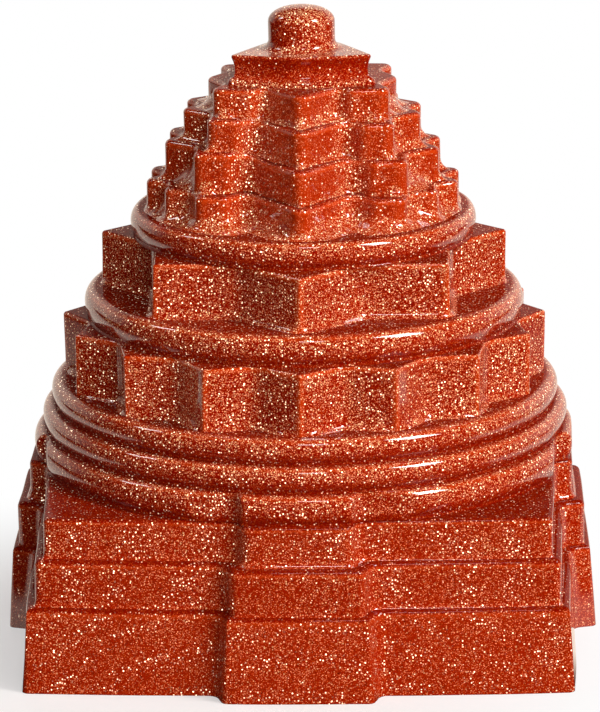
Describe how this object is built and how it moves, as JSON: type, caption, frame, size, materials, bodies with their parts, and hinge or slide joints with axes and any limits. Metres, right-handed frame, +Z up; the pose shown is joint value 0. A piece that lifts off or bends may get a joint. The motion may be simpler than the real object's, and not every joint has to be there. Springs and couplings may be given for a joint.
{
  "type": "shri yantra",
  "caption": "Carved and polished meru shri yantra: square gated steps, round girdles, petal and triangle tiers rising to a small dome.",
  "frame": {"origin": "centre of the flat underside, on the surface it stands on", "axes": "+Z up through the bindu, -Y towards the front petal ridge and the front gate, +X to the right seen from the front"},
  "size_m": [0.051, 0.051, 0.0536],
  "materials": {
    "goldstone": "polished goldstone glass, red-brown and opaque, full of small copper flecks"
  },
  "bodies": {
    "root": {"bhupura_lower_step": "goldstone", "bhupura_middle_step": "goldstone", "bhupura_upper_step": "goldstone", "lower_girdle": "goldstone", "middle_girdle": "goldstone", "upper_girdle": "goldstone", "sixteen_petal_lotus": "goldstone", "lotus_girdle": "goldstone", "eight_petal_lotus": "goldstone", "triangle_girdle": "goldstone", "fourteen_triangle_tier": "goldstone", "outer_ten_triangle_tier": "goldstone", "inner_ten_triangle_tier": "goldstone", "eight_triangle_tier": "goldstone", "central_triangle": "goldstone", "bindu": "goldstone"}
  },
  "joints": []
}
